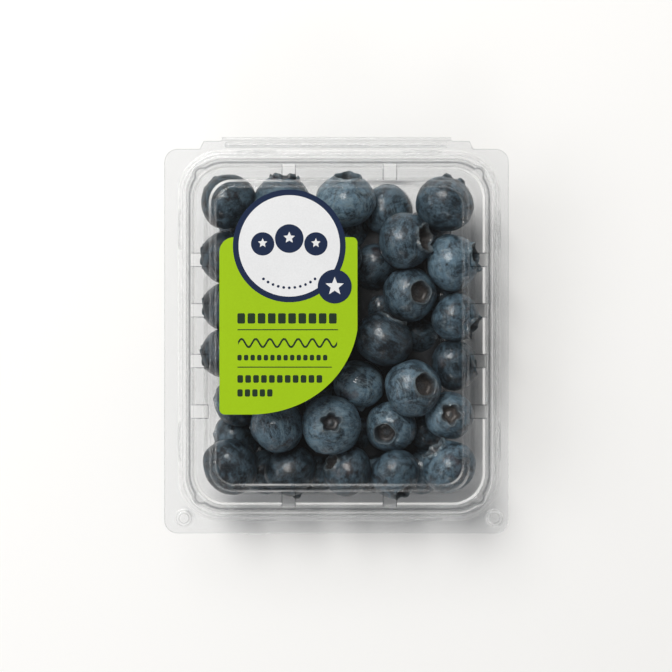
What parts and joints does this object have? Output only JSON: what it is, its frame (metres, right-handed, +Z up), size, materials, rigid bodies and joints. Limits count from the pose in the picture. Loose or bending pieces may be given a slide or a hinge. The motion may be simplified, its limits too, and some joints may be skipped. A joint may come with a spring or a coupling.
{
  "type": "punnet of blueberries",
  "caption": "Clear hinged clamshell punnet filled with loose blueberries: flanged tray, domed vented lid that folds back on a living hinge, and a label on top.",
  "frame": {"origin": "middle of the bounding box at the height of the surface the tray stands on", "axes": "+Z up, +Y towards the hinge at the back, +X to the right as seen from the front"},
  "size_m": [0.1042, 0.1202, 0.0382],
  "materials": {
    "clear_sheet": "clear",
    "berry_skin": "waxy bloom",
    "label_paper": "satin"
  },
  "bodies": {
    "base": {"tray": "clear_sheet", "hinge_film": "clear_sheet", "blueberries": "berry_skin"},
    "cover": {"lid": "clear_sheet", "label": "label_paper"}
  },
  "joints": [
    {"name": "lid_hinge", "type": "hinge", "parent": "base", "child": "cover", "pos_m": [0, 0.05955, 0.02755], "axis": [-1, 0, 0], "range_deg": [0, 180], "deforming": ["hinge_film"]}
  ]
}
